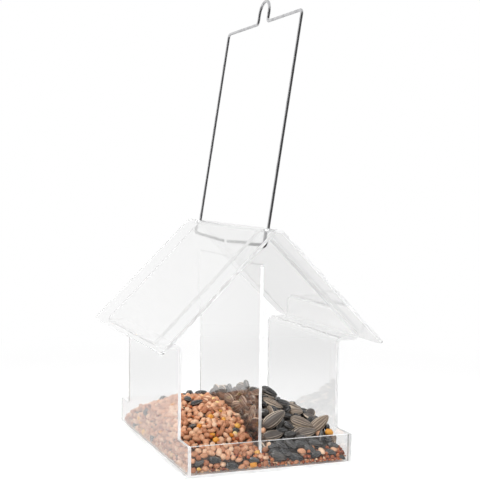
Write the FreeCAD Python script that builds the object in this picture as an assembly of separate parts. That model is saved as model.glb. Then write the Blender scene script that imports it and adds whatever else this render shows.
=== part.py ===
"""Hanging bird feeding house of clear acrylic sheet, filled with seed.

A flat base carries one bent sheet that makes both side walls, both soffits and the inner roof.
A second bent sheet lies on its slopes as the outer roof, two low rims close the trays, a divider
parts the two seed bays, and a bent wire swings in two holes of the outer ridge.

Frame: millimetres, +Z up, +Y from the front to the back along the ridge, origin at the middle of
the underside of the base. Every size below is a real one.
"""
import FreeCAD
import Part
import math
import os
from dataclasses import dataclass
from FreeCAD import Vector

# Sheet
SHEET = 2.0
GLUE_GAP = 0.1

# Base and trays
TRAY_WIDTH = 110.0
TRAY_LENGTH = 157.0
RIM_TOP = 19.5

# Bent shell: walls, soffits and inner roof
WALL_LENGTH = 116.0
SOFFIT_HEIGHT = 76.6
SOFFIT_REACH = 18.0
ROOF_SLOPE = 45.3
SHOULDER_INNER_RADIUS = 2.0
FOLD_INNER_RADIUS = 0.8

# Outer roof
RIDGE_OUTER_RADIUS = 6.0
GABLE_OVERHANG = 26.0
EAVE_OVERHANG = 1.2
ROOF_CORNER_RADIUS = 2.5

# Divider
DIVIDER_HEADROOM = 19.7
DIVIDER_CORNER_RADIUS = 1.0

# Wire hanger
WIRE_DIAMETER = 2.0
HANGER_HOLE_DIAMETER = 5.3
PIVOT_SHIFT = 0.6
LEG_SETBACK = 7.5
HANGER_RISE = 139.4
HANGER_DROP = 10.6
HANGER_LEAN = 8.7
CORNER_BEND_RADIUS = 3.0
HUMP_WIDTH = 17.0
HUMP_HEIGHT = 15.0
HUMP_CROWN_FLAT = 0.4
HUMP_FOOT_RADIUS = 2.5
END_DROOP = 2.4
END_GAP = 9.0
END_BEVEL = 0.3

# Seed
SEED_GAP = 0.3
SEED_FLOOR_GAP = 0.1
LEAST_BED = 1.0
SEED_TURN = 137.5
WIDEST_PLACE = 0.45
FLAT_SHARE = 0.5

# Points nearer than this are one point
SAME_POINT = 1e-6


@dataclass(frozen=True)
class HeapSection:
    """One cut through a heap of seed, across the house.

    place is where the cut lies along Y: 'rim' and 'wall' stand for the inner face of a rim and the
    end of a side wall, on the side of the sign of along, and 'bay' is along itself.
    """

    place: str
    along: float
    at_divider: float
    at_middle: float
    at_wall: float


@dataclass(frozen=True)
class SeedLayer:
    """The seeds that lie uppermost on a heap, strewn in staggered rows and turned every way.

    length, width and thickness are one seed's, and bed is how far the smaller seed round it lies
    under its top. columns is the count in a full row across the bay, and rows the count along it.
    """

    length: float
    width: float
    thickness: float
    bed: float
    columns: int
    rows: int


SEED_MIX_SECTIONS = (
    HeapSection("rim", -1, 8.0, 12.0, 13.0),
    HeapSection("wall", -1, 10.0, 22.0, 21.0),
    HeapSection("bay", -30.0, 23.0, 34.0, 26.0),
    HeapSection("bay", 5.0, 27.0, 36.0, 27.0),
    HeapSection("bay", 35.0, 27.0, 27.0, 20.0),
    HeapSection("wall", 1, 17.0, 16.0, 11.0),
    HeapSection("rim", 1, 5.0, 4.5, 4.0),
)
SUNFLOWER_SECTIONS = (
    HeapSection("rim", -1, 9.0, 10.0, 4.0),
    HeapSection("wall", -1, 20.0, 19.0, 13.0),
    HeapSection("bay", -30.0, 41.0, 29.0, 22.0),
    HeapSection("bay", 0.0, 42.0, 28.0, 18.0),
    HeapSection("bay", 30.0, 32.0, 21.0, 11.0),
    HeapSection("wall", 1, 19.0, 13.0, 6.0),
    HeapSection("rim", 1, 7.0, 5.0, 4.0),
)

SEED_MIX_LAYER = SeedLayer(length=6.5, width=4.2, thickness=3.2, bed=1.6, columns=5, rows=13)
SUNFLOWER_LAYER = SeedLayer(length=16.8, width=8.3, thickness=4.3, bed=2.0, columns=3, rows=11)

# Worked out from the sizes above
SLOPE = math.radians(ROOF_SLOPE)
SLOPE_RISE = math.tan(SLOPE)
UPRIGHT_SHEET = SHEET / math.cos(SLOPE)
WALL_FACE = TRAY_WIDTH / 2
TRAY_END = TRAY_LENGTH / 2
WALL_END = WALL_LENGTH / 2
FLOOR = SHEET + GLUE_GAP
FOLD_CORNER = WALL_FACE + SOFFIT_REACH
SHELL_APEX = SOFFIT_HEIGHT + FOLD_CORNER * SLOPE_RISE
ROOF_APEX = SHELL_APEX + (SHEET + GLUE_GAP) / math.cos(SLOPE)
ROOF_END = WALL_END + GABLE_OVERHANG
EAVE_EDGE = FOLD_CORNER + EAVE_OVERHANG
RIDGE_TOP = ROOF_APEX - RIDGE_OUTER_RADIUS * (1 / math.cos(SLOPE) - 1)
INNER_RIDGE_UNDERSIDE = RIDGE_TOP - SHEET - GLUE_GAP - SHEET
DIVIDER_TOP = INNER_RIDGE_UNDERSIDE - DIVIDER_HEADROOM
PIVOT_HEIGHT = RIDGE_TOP - SHEET / 2
LEG_PLACE = WALL_END + LEG_SETBACK


def box(low, high):
    """Block between two opposite corners."""
    size = [high[i] - low[i] for i in range(3)]
    return Part.makeBox(*size, Vector(*low))


def rounded_wire(points, radii, closed):
    """Wire of straight runs whose corners are tangent arcs; a radius of 0 leaves a corner sharp."""
    count = len(points)
    starts, ends, arcs = [], [], []
    for i, (point, radius) in enumerate(zip(points, radii)):
        is_end = not closed and i in (0, count - 1)
        if is_end or radius == 0:
            starts.append(point)
            ends.append(point)
            arcs.append(None)
            continue
        back = (points[i - 1] - point).normalize()
        ahead = (points[(i + 1) % count] - point).normalize()
        half = back.getAngle(ahead) / 2
        reach = radius / math.tan(half)
        middle = (back + ahead).normalize() * (radius / math.sin(half) - radius)
        starts.append(point + back * reach)
        ends.append(point + ahead * reach)
        arcs.append(point + middle)
    edges = []
    for i in range(count):
        if arcs[i] is not None:
            edges.append(Part.Arc(starts[i], arcs[i], ends[i]).toShape())
        follows = (i + 1) % count
        if follows == 0 and not closed:
            break
        if (starts[follows] - ends[i]).Length > SAME_POINT:
            edges.append(Part.LineSegment(ends[i], starts[follows]).toShape())
    return Part.Wire(edges)


def extruded(points, radii, half_length):
    """Solid of an outline in the XZ plane, run along Y to half_length each way."""
    face = Part.Face(rounded_wire(points, radii, closed=True))
    face.translate(Vector(0, -half_length, 0))
    return face.extrude(Vector(0, 2 * half_length, 0))


def make_base_plate():
    """Flat floor under the walls and rims."""
    return box((-WALL_FACE, -TRAY_END, 0), (WALL_FACE, TRAY_END, SHEET))


def make_house_shell():
    """Side walls with low wings, soffits and inner roof, bent from one sheet."""
    inner_face = WALL_FACE - SHEET
    soffit_top = SOFFIT_HEIGHT + SHEET
    inner_apex = SHELL_APEX - UPRIGHT_SHEET
    inner_fold = (inner_apex - soffit_top) / SLOPE_RISE
    shoulder_outer = SHOULDER_INNER_RADIUS + SHEET
    fold_outer = FOLD_INNER_RADIUS + SHEET
    ridge_outer = RIDGE_OUTER_RADIUS - SHEET - GLUE_GAP
    ridge_inner = ridge_outer - SHEET
    right_side = [
        (WALL_FACE, FLOOR, 0),
        (WALL_FACE, SOFFIT_HEIGHT, SHOULDER_INNER_RADIUS),
        (FOLD_CORNER, SOFFIT_HEIGHT, fold_outer),
    ]
    right_inside = [
        (inner_face, FLOOR, 0),
        (inner_face, soffit_top, shoulder_outer),
        (inner_fold, soffit_top, FOLD_INNER_RADIUS),
    ]
    outline = right_side + [(0, SHELL_APEX, ridge_outer)]
    outline += [(-x, z, r) for x, z, r in reversed(right_side)]
    outline += [(-x, z, r) for x, z, r in right_inside]
    outline += [(0, inner_apex, ridge_inner)]
    outline += list(reversed(right_inside))
    points = [Vector(x, 0, z) for x, z, r in outline]
    radii = [r for x, z, r in outline]
    shell = extruded(points, radii, TRAY_END)
    for side in (-1, 1):
        ends = sorted((side * WALL_END, side * TRAY_END))
        above_wing = box((-FOLD_CORNER, ends[0], RIM_TOP), (FOLD_CORNER, ends[1], SHELL_APEX))
        shell = shell.cut(above_wing)
    return shell


def make_outer_roof():
    """Outer roof sheet with its rounded ridge, trimmed corners and two hanger holes."""
    inner_apex = ROOF_APEX - UPRIGHT_SHEET
    eave_height = ROOF_APEX - EAVE_EDGE * SLOPE_RISE
    inner_edge = EAVE_EDGE - SHEET * math.sin(SLOPE)
    inner_height = eave_height - SHEET * math.cos(SLOPE)
    outline = [
        (EAVE_EDGE, eave_height, 0),
        (0, ROOF_APEX, RIDGE_OUTER_RADIUS),
        (-EAVE_EDGE, eave_height, 0),
        (-inner_edge, inner_height, 0),
        (0, inner_apex, RIDGE_OUTER_RADIUS - SHEET),
        (inner_edge, inner_height, 0),
    ]
    points = [Vector(x, 0, z) for x, z, r in outline]
    radii = [r for x, z, r in outline]
    roof = extruded(points, radii, ROOF_END)
    corner_edges = [edge for edge in roof.Edges if is_roof_corner(edge, eave_height, inner_height)]
    roof = roof.makeFillet(ROOF_CORNER_RADIUS, corner_edges)
    for side in (-1, 1):
        bottom = Vector(0, side * LEG_PLACE, inner_height)
        hole = Part.makeCylinder(HANGER_HOLE_DIAMETER / 2, ROOF_APEX - inner_height, bottom)
        roof = roof.cut(hole)
    return roof


def is_roof_corner(edge, eave_height, inner_height):
    """True for the four short edges through the sheet at the corners of the roof."""
    middle = edge.CenterOfMass
    at_gable = abs(abs(middle.y) - ROOF_END) < SHEET / 4
    at_eave = abs(middle.z - (eave_height + inner_height) / 2) < SHEET / 4
    return at_gable and at_eave


def make_rim(side):
    """Low strip between the wings, flush with the end of the tray; side is -1 in front, 1 behind."""
    half_width = WALL_FACE - SHEET - GLUE_GAP
    outer, inner = side * TRAY_END, side * (TRAY_END - SHEET)
    low, high = sorted((outer, inner))
    return box((-half_width, low, FLOOR), (half_width, high, RIM_TOP))


def make_centre_divider():
    """Upright sheet on the centre line, with its two top corners rounded."""
    divider = box((-SHEET / 2, -WALL_END, FLOOR), (SHEET / 2, WALL_END, DIVIDER_TOP))
    corners = [edge for edge in divider.Edges if is_divider_corner(edge)]
    return divider.makeFillet(DIVIDER_CORNER_RADIUS, corners)


def is_divider_corner(edge):
    """True for the two short top edges through the sheet at the ends of the divider."""
    middle = edge.CenterOfMass
    return abs(middle.x) < SHEET / 4 and abs(abs(middle.y) - WALL_END) < SHEET / 4 \
        and abs(middle.z - DIVIDER_TOP) < SHEET / 4


def hanger_route():
    """Centre line of the wire in its upright plane: corner points and bend radii, from tip to tip."""
    top = PIVOT_HEIGHT + HANGER_RISE
    low = PIVOT_HEIGHT - HANGER_DROP
    hump = HUMP_WIDTH / 2
    half = [
        (END_GAP / 2, low - END_DROOP, 0),
        (LEG_PLACE, low, CORNER_BEND_RADIUS),
        (LEG_PLACE, top, CORNER_BEND_RADIUS),
        (hump, top, HUMP_FOOT_RADIUS),
        (hump, top + HUMP_HEIGHT, hump - HUMP_CROWN_FLAT / 2),
    ]
    whole = half + [(-y, z, r) for y, z, r in reversed(half)]
    points = [Vector(PIVOT_SHIFT, y, z) for y, z, r in whole]
    return points, [r for y, z, r in whole]


def swept_rod(path, radius):
    """Round rod along a path of straight runs and arcs: a cylinder per run and a bend per arc."""
    rods = []
    for edge in path.OrderedEdges:
        ahead = edge.tangentAt(edge.FirstParameter)
        start = edge.valueAt(edge.FirstParameter)
        if isinstance(edge.Curve, Part.Line):
            end = edge.valueAt(edge.LastParameter)
            rods.append(Part.makeCylinder(radius, (end - start).Length, start, end - start))
            continue
        section = Part.Face(Part.Wire([Part.Circle(start, ahead, radius).toShape()]))
        turn = math.degrees(edge.LastParameter - edge.FirstParameter)
        rods.append(section.revolve(edge.Curve.Center, edge.Curve.Axis, turn))
    return rods[0].multiFuse(rods[1:])


def make_wire_hanger():
    """Bent wire with bevelled ends, leaning against the right side of its two holes."""
    points, radii = hanger_route()
    wire = swept_rod(rounded_wire(points, radii, closed=False), WIRE_DIAMETER / 2).removeSplitter()
    rims = [edge for edge in wire.Edges if is_wire_end(edge, (points[0], points[-1]))]
    wire = wire.makeChamfer(END_BEVEL, rims)
    wire.rotate(Vector(PIVOT_SHIFT, 0, PIVOT_HEIGHT), Vector(0, 1, 0), HANGER_LEAN)
    return wire


def is_wire_end(edge, tips):
    """True for the round edge at a cut end of the wire."""
    return edge.isClosed() and min((edge.CenterOfMass - tip).Length for tip in tips) < SAME_POINT


def section_place(section):
    """Place of a heap's cut along Y."""
    if section.place == "rim":
        return math.copysign(TRAY_END - SHEET - SEED_GAP, section.along)
    if section.place == "wall":
        return math.copysign(WALL_END, section.along)
    return section.along


def bay_sides(side):
    """X of a heap's faces at the divider and at the side wall; side is -1 on the left, 1 on the right."""
    return side * (SHEET / 2 + SEED_GAP), side * (WALL_FACE - SHEET - SEED_GAP)


def between(low, high, share):
    """Value at a share of the way from low to high."""
    return low + (high - low) * share


def heap_height(sections, side, x, y):
    """Height of a heap's top at a place, on the flat facets that lie from cut to cut."""
    near, far = bay_sides(side)
    across = (x - near) / (far - near) * 2
    for ahead, behind in zip(sections, sections[1:]):
        start, end = section_place(ahead), section_place(behind)
        if y <= end:
            break
    along = (y - start) / (end - start)
    if across < 1:
        inner = (ahead.at_divider, behind.at_divider)
        outer = (ahead.at_middle, behind.at_middle)
    else:
        inner = (ahead.at_middle, behind.at_middle)
        outer = (ahead.at_wall, behind.at_wall)
        across -= 1
    if across > along:
        return inner[0] + (outer[0] - inner[0]) * across + (outer[1] - outer[0]) * along
    return inner[0] + (outer[1] - inner[1]) * across + (inner[1] - inner[0]) * along


def faceted(polygons):
    """Solid between flat faces, each given by its corners."""
    faces = [Part.Face(Part.makePolygon([*corners, corners[0]])) for corners in polygons]
    solid = Part.Solid(Part.Shell(faces))
    if solid.Volume < 0:
        solid.reverse()
    return solid


def make_bed(sections, side, depth):
    """Body of a heap, with its top at depth under the seeds that lie uppermost."""
    near, far = bay_sides(side)
    floor = SHEET + SEED_FLOOR_GAP
    rows = []
    for section in sections:
        y = section_place(section)
        heights = (section.at_divider, section.at_middle, section.at_wall)
        places = (near, (near + far) / 2, far)
        rows.append([Vector(x, y, max(z - depth, floor + LEAST_BED)) for x, z in zip(places, heights)])
    corners = {}
    for name, row in (("front", rows[0]), ("back", rows[-1])):
        corners[name] = [Vector(point.x, point.y, floor) for point in (row[0], row[-1])]
    polygons = []
    for ahead, behind in zip(rows, rows[1:]):
        for i in range(2):
            polygons.append((ahead[i], ahead[i + 1], behind[i + 1]))
            polygons.append((ahead[i], behind[i + 1], behind[i]))
    for i, edge in ((0, 0), (1, -1)):
        top = [row[edge] for row in rows]
        polygons.append((*top, corners["back"][i], corners["front"][i]))
    polygons.append((*rows[0], *reversed(corners["front"])))
    polygons.append((*rows[-1], *reversed(corners["back"])))
    polygons.append((*corners["front"], *reversed(corners["back"])))
    return faceted(polygons)


def make_seed(layer, middle, along, up):
    """One seed with few faces: six-sided where it is widest, drawn to a point at each end."""
    aside = up.cross(along)
    half_width, half_thickness = layer.width / 2, layer.thickness / 2
    blunt = middle - along * layer.length * WIDEST_PLACE
    tip = middle + along * layer.length * (1 - WIDEST_PLACE)
    ring = []
    flat = FLAT_SHARE
    for sideways, upwards in ((1, 0), (flat, 1), (-flat, 1), (-1, 0), (-flat, -1), (flat, -1)):
        ring.append(middle + aside * half_width * sideways + up * half_thickness * upwards)
    polygons = []
    for corner, following in zip(ring, ring[1:] + ring[:1]):
        polygons.append((blunt, following, corner))
        polygons.append((tip, corner, following))
    return faceted(polygons)


def strewn(layer, side):
    """Places of the uppermost seeds: X and Y in staggered rows over the bay and its ends of the trays."""
    near, far = sorted(bay_sides(side))
    end = TRAY_END - SHEET - SEED_GAP
    reach = layer.length * (1 - WIDEST_PLACE)
    pitch = (far - near - 2 * reach) / (layer.columns - 1)
    for row in range(layer.rows):
        y = between(reach - end, end - reach, row / (layer.rows - 1))
        shifted = row % 2
        for column in range(layer.columns - shifted):
            yield near + reach + pitch * (column + shifted / 2), y


def make_heap(sections, layer, side):
    """Heap of seed in one bay and its ends of the trays: a bed with the uppermost seeds on it."""
    bed = make_bed(sections, side, layer.bed)
    step = layer.thickness / 2
    seeds = []
    for count, (x, y) in enumerate(strewn(layer, side)):
        rise_x = heap_height(sections, side, x + step, y) - heap_height(sections, side, x - step, y)
        rise_y = heap_height(sections, side, x, y + step) - heap_height(sections, side, x, y - step)
        up = Vector(-rise_x, -rise_y, 2 * step).normalize()
        turn = FreeCAD.Rotation(Vector(0, 0, 1), up) * FreeCAD.Rotation(Vector(0, 0, 1), count * SEED_TURN)
        top = Vector(x, y, heap_height(sections, side, x, y))
        seed = make_seed(layer, top - up * step, turn.multVec(Vector(1, 0, 0)), up)
        if seed.BoundBox.ZMin > SHEET + SEED_FLOOR_GAP:
            seeds.append(seed)
    return bed.multiFuse(seeds).removeSplitter()


def main():
    """Builds every piece and writes each to its own file."""
    pieces = {
        "base_plate": make_base_plate(),
        "house_shell": make_house_shell(),
        "outer_roof": make_outer_roof(),
        "front_rim": make_rim(-1),
        "back_rim": make_rim(1),
        "centre_divider": make_centre_divider(),
        "wire_hanger": make_wire_hanger(),
        "seed_mix": make_heap(SEED_MIX_SECTIONS, SEED_MIX_LAYER, -1),
        "sunflower_seed": make_heap(SUNFLOWER_SECTIONS, SUNFLOWER_LAYER, 1),
    }
    os.makedirs("parts", exist_ok=True)
    for name, shape in pieces.items():
        shape.exportStep(f"parts/{name}.step")
        extent = shape.BoundBox
        print(f"{name}: valid {shape.isValid()}, solids {len(shape.Solids)}, volume {shape.Volume:.1f}, "
              f"X {extent.XMin:.2f} {extent.XMax:.2f}, Y {extent.YMin:.2f} {extent.YMax:.2f}, "
              f"Z {extent.ZMin:.2f} {extent.ZMax:.2f}")


main()
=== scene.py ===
"""Looks of a hanging bird feeding house: clear acrylic sheets, a steel wire and two heaps of seed.

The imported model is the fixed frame. The sheets and the wire keep its meshes and get their finishes here.
Each heap is rebuilt seed by seed inside the space of its plain solid: a bed of crumbs, and over it seeds
that lie against the heap's top, against the clear walls and on the floor.
"""

import logging
import math
import random
from collections.abc import Iterator
from dataclasses import dataclass
from enum import Enum
from itertools import accumulate

import bmesh
import bpy
from mathutils import Euler, Matrix, Vector, noise
from mathutils.bvhtree import BVHTree

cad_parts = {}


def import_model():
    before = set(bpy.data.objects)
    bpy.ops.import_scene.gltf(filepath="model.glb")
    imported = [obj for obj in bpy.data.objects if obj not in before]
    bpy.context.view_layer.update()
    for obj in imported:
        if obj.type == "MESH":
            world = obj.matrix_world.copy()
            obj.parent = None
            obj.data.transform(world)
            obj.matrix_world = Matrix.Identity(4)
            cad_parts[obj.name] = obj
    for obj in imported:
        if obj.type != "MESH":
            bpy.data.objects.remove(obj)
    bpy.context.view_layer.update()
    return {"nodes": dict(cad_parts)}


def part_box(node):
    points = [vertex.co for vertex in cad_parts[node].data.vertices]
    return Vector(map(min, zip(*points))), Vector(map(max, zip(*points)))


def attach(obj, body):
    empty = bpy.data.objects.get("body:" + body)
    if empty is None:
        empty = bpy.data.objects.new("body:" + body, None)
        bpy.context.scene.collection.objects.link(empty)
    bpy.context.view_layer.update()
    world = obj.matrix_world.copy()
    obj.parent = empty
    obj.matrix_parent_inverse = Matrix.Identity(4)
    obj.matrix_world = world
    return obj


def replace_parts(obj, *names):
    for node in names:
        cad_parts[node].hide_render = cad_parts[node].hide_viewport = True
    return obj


MM = 0.001
HOUSE = "house"
SEED_MAP = "seed_map"
TONE = "tone"
DIVIDER_END = 58.3 * MM
FAR = 99.0
UP = Vector((0, 0, 1))

Colour = tuple[float, float, float]
Place = tuple[float, float, float]
Span = tuple[float, float]
Socket = bpy.types.NodeSocket
NodeTree = bpy.types.NodeTree
Material = bpy.types.Material
Shape = bmesh.types.BMesh

log = logging.getLogger("bird_feeding_house")


class SeedKind(Enum):
    """Kinds of seed in the two bays."""

    WHEAT = "wheat"
    SORGHUM = "sorghum"
    RED_MILLET = "red_millet"
    YELLOW_MILLET = "yellow_millet"
    MAIZE = "maize"
    BLACK_SUNFLOWER = "black_sunflower"
    STRIPED_SUNFLOWER = "striped_sunflower"
    BROKEN_GRAIN = "broken_grain"


BLACK, STRIPED = SeedKind.BLACK_SUNFLOWER, SeedKind.STRIPED_SUNFLOWER
WHEAT, SORGHUM, MAIZE = SeedKind.WHEAT, SeedKind.SORGHUM, SeedKind.MAIZE
RED, YELLOW, BROKEN = SeedKind.RED_MILLET, SeedKind.YELLOW_MILLET, SeedKind.BROKEN_GRAIN
HUSKS = (BLACK, STRIPED)


class ShaderGraph:
    """Adds and joins nodes in one node tree."""

    def __init__(self, tree: NodeTree) -> None:
        """Takes over a tree and empties it."""
        self.tree = tree
        tree.nodes.clear()

    def add(self, kind: str, inputs: dict | None = None, **settings: object) -> bpy.types.Node:
        """Adds one node.

        Args:
            kind: The node's type name.
            inputs: Socket names or numbers, each with a value or with an output socket to join to it.
            **settings: The node's own properties.

        Returns:
            The new node.
        """
        node = self.tree.nodes.new(kind)
        for name, value in settings.items():
            setattr(node, name, value)
        self.fill(node, inputs or {})
        return node

    def fill(self, node: bpy.types.Node, inputs: dict) -> None:
        """Sets or joins a node's inputs.

        Args:
            node: The node.
            inputs: Socket names or numbers, each with a value or with an output socket to join to it.
        """
        for socket, value in inputs.items():
            if isinstance(value, Socket):
                self.tree.links.new(value, node.inputs[socket])
            else:
                node.inputs[socket].default_value = value

    def group(self, tree: NodeTree, inputs: dict) -> bpy.types.Node:
        """Places a node group with its own values."""
        return self.add("ShaderNodeGroup", inputs, node_tree=tree)

    def maths(self, operation: str, first: object, second: object = 0.0) -> Socket:
        """Adds a Math node.

        Args:
            operation: The node's operation.
            first: Value or socket.
            second: Value or socket.

        Returns:
            The node's output.
        """
        return self.add("ShaderNodeMath", {0: first, 1: second}, operation=operation).outputs[0]

    def times(self, first: object, second: object) -> Socket:
        """Multiplies two values."""
        return self.maths("MULTIPLY", first, second)

    def rest(self, share: object) -> Socket:
        """Gives what a share leaves of one."""
        return self.maths("SUBTRACT", 1.0, share)

    def parts(self, vector: object) -> bpy.types.NodeOutputs:
        """Takes a vector apart into X, Y and Z."""
        return self.add("ShaderNodeSeparateXYZ", {0: vector}).outputs

    def mix(self, factor: object, first: object, second: object) -> Socket:
        """Mixes two colours.

        Args:
            factor: Share of the second colour.
            first: Colour or socket.
            second: Colour or socket.

        Returns:
            The mixed colour.
        """
        node = self.add("ShaderNodeMix", {0: factor, 6: first, 7: second}, data_type="RGBA")
        return node.outputs[2]

    def spread(self, value: object, low: float, high: float, start: float = 0.0,
               end: float = 1.0) -> Socket:
        """Maps a value smoothly from one range to another.

        Args:
            value: Socket to map.
            low: Input that gives start.
            high: Input that gives end.
            start: Output at low.
            end: Output at high.

        Returns:
            The mapped value.
        """
        inputs = {"Value": value, "From Min": low, "From Max": high, "To Min": start, "To Max": end}
        node = self.add("ShaderNodeMapRange", inputs, interpolation_type="SMOOTHSTEP")
        return node.outputs["Result"]

    def noise(self, vector: object, scale: float, detail: float = 3.0) -> Socket:
        """Adds a noise texture.

        Args:
            vector: Coordinates.
            scale: Cells per metre.
            detail: Octaves.

        Returns:
            The noise value.
        """
        inputs = {"Vector": vector, "Scale": scale, "Detail": detail}
        return self.add("ShaderNodeTexNoise", inputs).outputs[0]


def rgba(colour: Colour) -> tuple[float, float, float, float]:
    """Opaque colour for a socket."""
    return (*colour, 1.0)


def new_material(name: str) -> tuple[Material, ShaderGraph]:
    """Makes an empty node material.

    Args:
        name: The material's name.

    Returns:
        The material and its graph.
    """
    material = bpy.data.materials.new(name)
    material.use_nodes = True
    return material, ShaderGraph(material.node_tree)


def new_group(name: str, inputs: dict[str, str], outputs: dict[str, str]) -> tuple[ShaderGraph, dict]:
    """Makes an empty shader node group.

    Args:
        name: The group's name.
        inputs: Names of the inputs and their socket types.
        outputs: Names of the outputs and their socket types.

    Returns:
        The group's graph and its inputs by name.
    """
    tree = bpy.data.node_groups.new(name, "ShaderNodeTree")
    graph = ShaderGraph(tree)
    for socket, kind in inputs.items():
        tree.interface.new_socket(socket, in_out="INPUT", socket_type=kind)
    for socket, kind in outputs.items():
        tree.interface.new_socket(socket, in_out="OUTPUT", socket_type=kind)
    entry = graph.add("NodeGroupInput")
    return graph, {socket: entry.outputs[socket] for socket in inputs}


def seed_skin_group() -> NodeTree:
    """Makes the mottled skin that every kind of seed shares.

    Returns:
        Group that gives a colour between dark and pale by each seed's tone, and a height for its bump.
    """
    colour, value = "NodeSocketColor", "NodeSocketFloat"
    blotch_detail, blotch_share, tone_share = 4.0, 0.5, 0.75
    darkest, middle, palest = 0.2, 0.62, 1.02
    inputs = {"Vector": "NodeSocketVector", "Tone": value, "Scale": value,
              "Dark": colour, "Main": colour, "Pale": colour}
    graph, given = new_group("seed_skin", inputs, {"Color": colour, "Height": value})
    scaled = graph.add("ShaderNodeVectorMath", {0: given["Vector"], "Scale": given["Scale"]},
                       operation="SCALE")
    blotches = graph.noise(scaled.outputs[0], 1.0, blotch_detail)
    shade = graph.maths("ADD", graph.times(blotches, blotch_share), graph.times(given["Tone"], tone_share))
    lower = graph.mix(graph.spread(shade, darkest, middle), given["Dark"], given["Main"])
    colour_out = graph.mix(graph.spread(shade, middle, palest), lower, given["Pale"])
    graph.add("NodeGroupOutput", {"Color": colour_out, "Height": blotches})
    return graph.tree


def sheet_wear_group() -> NodeTree:
    """Makes the faint haze and hairline scratches of handled acrylic.

    Returns:
        Group that gives a roughness and a height for a bump.
    """
    value = "NodeSocketFloat"
    smears_per_metre, smear_detail, smear_edge = 28.0, 5.0, (0.5, 0.72)
    hairs_per_metre, hair_turn = (900.0, 18.0, 40.0), (0.4, 0.3, 0.5)
    hair_detail, hair_edge = 2.0, (0.68, 0.78)
    inputs = {"Vector": "NodeSocketVector", "Clean": value, "Hazy": value}
    graph, given = new_group("sheet_wear", inputs, {"Roughness": value, "Height": value})
    smears = graph.noise(given["Vector"], smears_per_metre, smear_detail)
    share = graph.spread(smears, *smear_edge)
    haze = graph.times(share, graph.maths("SUBTRACT", given["Hazy"], given["Clean"]))
    hairs = graph.add("ShaderNodeMapping", {"Vector": given["Vector"], "Rotation": hair_turn,
                                            "Scale": hairs_per_metre})
    lines = graph.spread(graph.noise(hairs.outputs[0], 1.0, hair_detail), *hair_edge)
    graph.add("NodeGroupOutput", {"Roughness": graph.maths("ADD", given["Clean"], haze), "Height": lines})
    return graph.tree


def cut_edge_group() -> NodeTree:
    """Makes the mask of a sheet's sawn edges, which are frosted and get a painted glow.

    Returns:
        Group that gives 1 on edges that face along the sheet: those along its axes, those that face up or
        down below a height, and the two eaves of a roof; and 1 on those of them above another height.
    """
    value, vector = "NodeSocketFloat", "NodeSocketVector"
    square_on, eave_on = (0.85, 0.95), (0.5, 0.6)
    inputs = {"Place": vector, "Normal": vector, "Axes": vector,
              "Low Edge": value, "Eaves": value, "Gable": value}
    graph, given = new_group("cut_edge", inputs, {"Edge": value, "High Edge": value})
    place = graph.parts(given["Place"])
    facing = graph.parts(given["Normal"])
    square = graph.add("ShaderNodeVectorMath", {0: given["Normal"]}, operation="ABSOLUTE").outputs[0]
    along = graph.add("ShaderNodeVectorMath", {0: square, 1: given["Axes"]}, operation="MULTIPLY")
    parts = graph.parts(along.outputs[0])
    ends = graph.maths("MAXIMUM", graph.maths("MAXIMUM", parts[0], parts[1]), parts[2])
    level = graph.maths("ABSOLUTE", facing[2])
    low = graph.times(level, graph.maths("LESS_THAN", place[2], given["Low Edge"]))
    flat = graph.spread(graph.maths("MAXIMUM", ends, low), *square_on)
    outward = graph.times(graph.maths("SIGN", place[0]), facing[0])
    downward = graph.times(facing[2], -1.0)
    eave = graph.spread(graph.maths("MINIMUM", outward, downward), *eave_on)
    edge = graph.maths("MAXIMUM", flat, graph.times(eave, given["Eaves"]))
    high = graph.times(edge, graph.maths("GREATER_THAN", place[2], given["Gable"]))
    graph.add("NodeGroupOutput", {"Edge": edge, "High Edge": high})
    return graph.tree


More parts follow.
